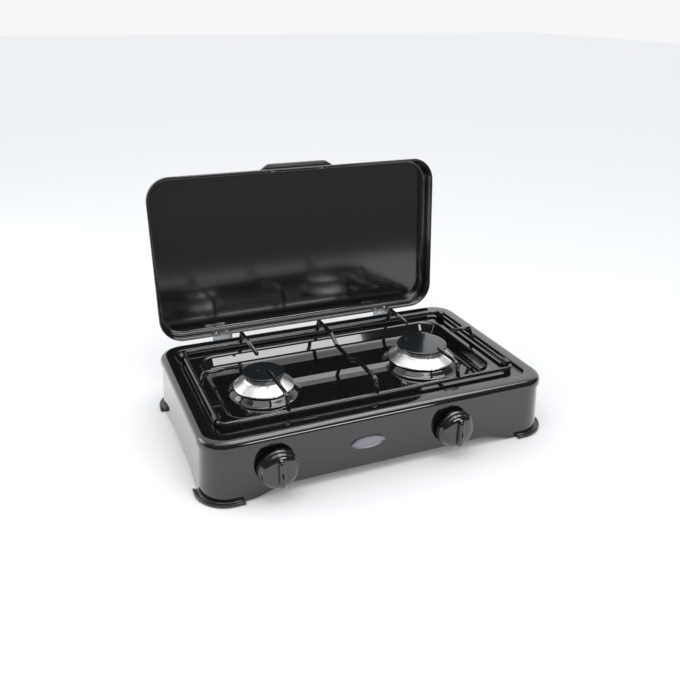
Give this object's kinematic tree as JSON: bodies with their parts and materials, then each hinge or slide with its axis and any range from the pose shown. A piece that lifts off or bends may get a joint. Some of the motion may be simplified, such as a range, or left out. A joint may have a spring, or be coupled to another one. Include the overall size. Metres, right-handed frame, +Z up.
{
  "type": "two-burner gas hob with a hinged lid",
  "caption": "Table-top gas hob: enamelled steel body, wire pan support, twin burners with push-and-turn knobs, hinged lid open.",
  "frame": {"origin": "middle of the base on the table, with the lid open", "axes": "+X to the right seen from the knobs, +Y from the knobs to the lid, +Z up"},
  "size_m": [0.5168, 0.3982, 0.3394],
  "materials": {
    "enamel_black": "high-gloss enamel",
    "cap_enamel": "satin-gloss enamel",
    "wire_black": "gloss enamel on wire",
    "foot_black": "moulded rubber",
    "knob_black": "gloss moulding",
    "handle_black": "satin moulding",
    "bright_aluminium": "bright turned",
    "cast_aluminium": "as cast",
    "zinc_plate": "bright zinc plate",
    "steel_tube": "drawn tube",
    "spring_steel": "spring wire",
    "brass": "machined",
    "satin_silver": "satin"
  },
  "bodies": {
    "hob": {"casing": "enamel_black", "hob_top": "enamel_black", "front_left_foot": "foot_black", "front_right_foot": "foot_black", "rear_left_foot": "foot_black", "rear_right_foot": "foot_black", "gas_rail": "steel_tube", "rail_saddles": "steel_tube", "inlet_nipple": "brass", "inlet_locknut": "brass", "badge": "satin_silver", "support_frame": "wire_black", "support_bridge": "wire_black", "left_fingers": "wire_black", "right_fingers": "wire_black", "support_sleeves": "foot_black", "ledge_buffers": "foot_black", "left_burner_body": "cast_aluminium", "left_burner_crown": "bright_aluminium", "left_burner_cap": "cap_enamel", "left_burner_screws": "zinc_plate", "left_tap_body": "brass", "left_return_spring": "spring_steel", "left_injector_holder": "steel_tube", "left_injector": "brass", "left_supply_pipe": "steel_tube", "left_wall_leaf": "zinc_plate", "left_wall_rivets": "zinc_plate", "left_hinge_pin": "zinc_plate", "right_burner_body": "cast_aluminium", "right_burner_crown": "bright_aluminium", "right_burner_cap": "cap_enamel", "right_burner_screws": "zinc_plate", "right_tap_body": "brass", "right_return_spring": "spring_steel", "right_injector_holder": "steel_tube", "right_injector": "brass", "right_supply_pipe": "steel_tube", "right_wall_leaf": "zinc_plate", "right_wall_rivets": "zinc_plate", "right_hinge_pin": "zinc_plate"},
    "lid": {"lid_shell": "enamel_black", "lid_handle": "handle_black", "handle_screws": "zinc_plate", "left_lid_leaf": "zinc_plate", "right_lid_leaf": "zinc_plate", "left_lid_rivets": "zinc_plate", "right_lid_rivets": "zinc_plate"},
    "left_tap_plunger": {"left_thrust_washer": "brass"},
    "left_knob_turner": {"left_spindle": "brass", "left_knob": "knob_black"},
    "right_tap_plunger": {"right_thrust_washer": "brass"},
    "right_knob_turner": {"right_spindle": "brass", "right_knob": "knob_black"}
  },
  "joints": [
    {"name": "lid_hinge", "type": "hinge", "parent": "hob", "child": "lid", "pos_m": [0, 0.13222, 0.0695], "axis": [1, 0, 0], "range_deg": [0, 94.4]},
    {"name": "left_knob_push", "type": "slide", "parent": "hob", "child": "left_tap_plunger", "axis": [0, 1, 0], "range_m": [0, 0.003], "stiffness_N_per_m": 900, "springref_m": -0.002, "deforming": ["left_return_spring"]},
    {"name": "left_knob_turn", "type": "hinge", "parent": "left_tap_plunger", "child": "left_knob_turner", "pos_m": [-0.159, -0.17678, 0.043], "axis": [0, -1, 0], "range_deg": [0, 180]},
    {"name": "right_knob_push", "type": "slide", "parent": "hob", "child": "right_tap_plunger", "axis": [0, 1, 0], "range_m": [0, 0.003], "stiffness_N_per_m": 900, "springref_m": -0.002, "deforming": ["right_return_spring"]},
    {"name": "right_knob_turn", "type": "hinge", "parent": "right_tap_plunger", "child": "right_knob_turner", "pos_m": [0.093, -0.17678, 0.043], "axis": [0, -1, 0], "range_deg": [0, 180]}
  ]
}
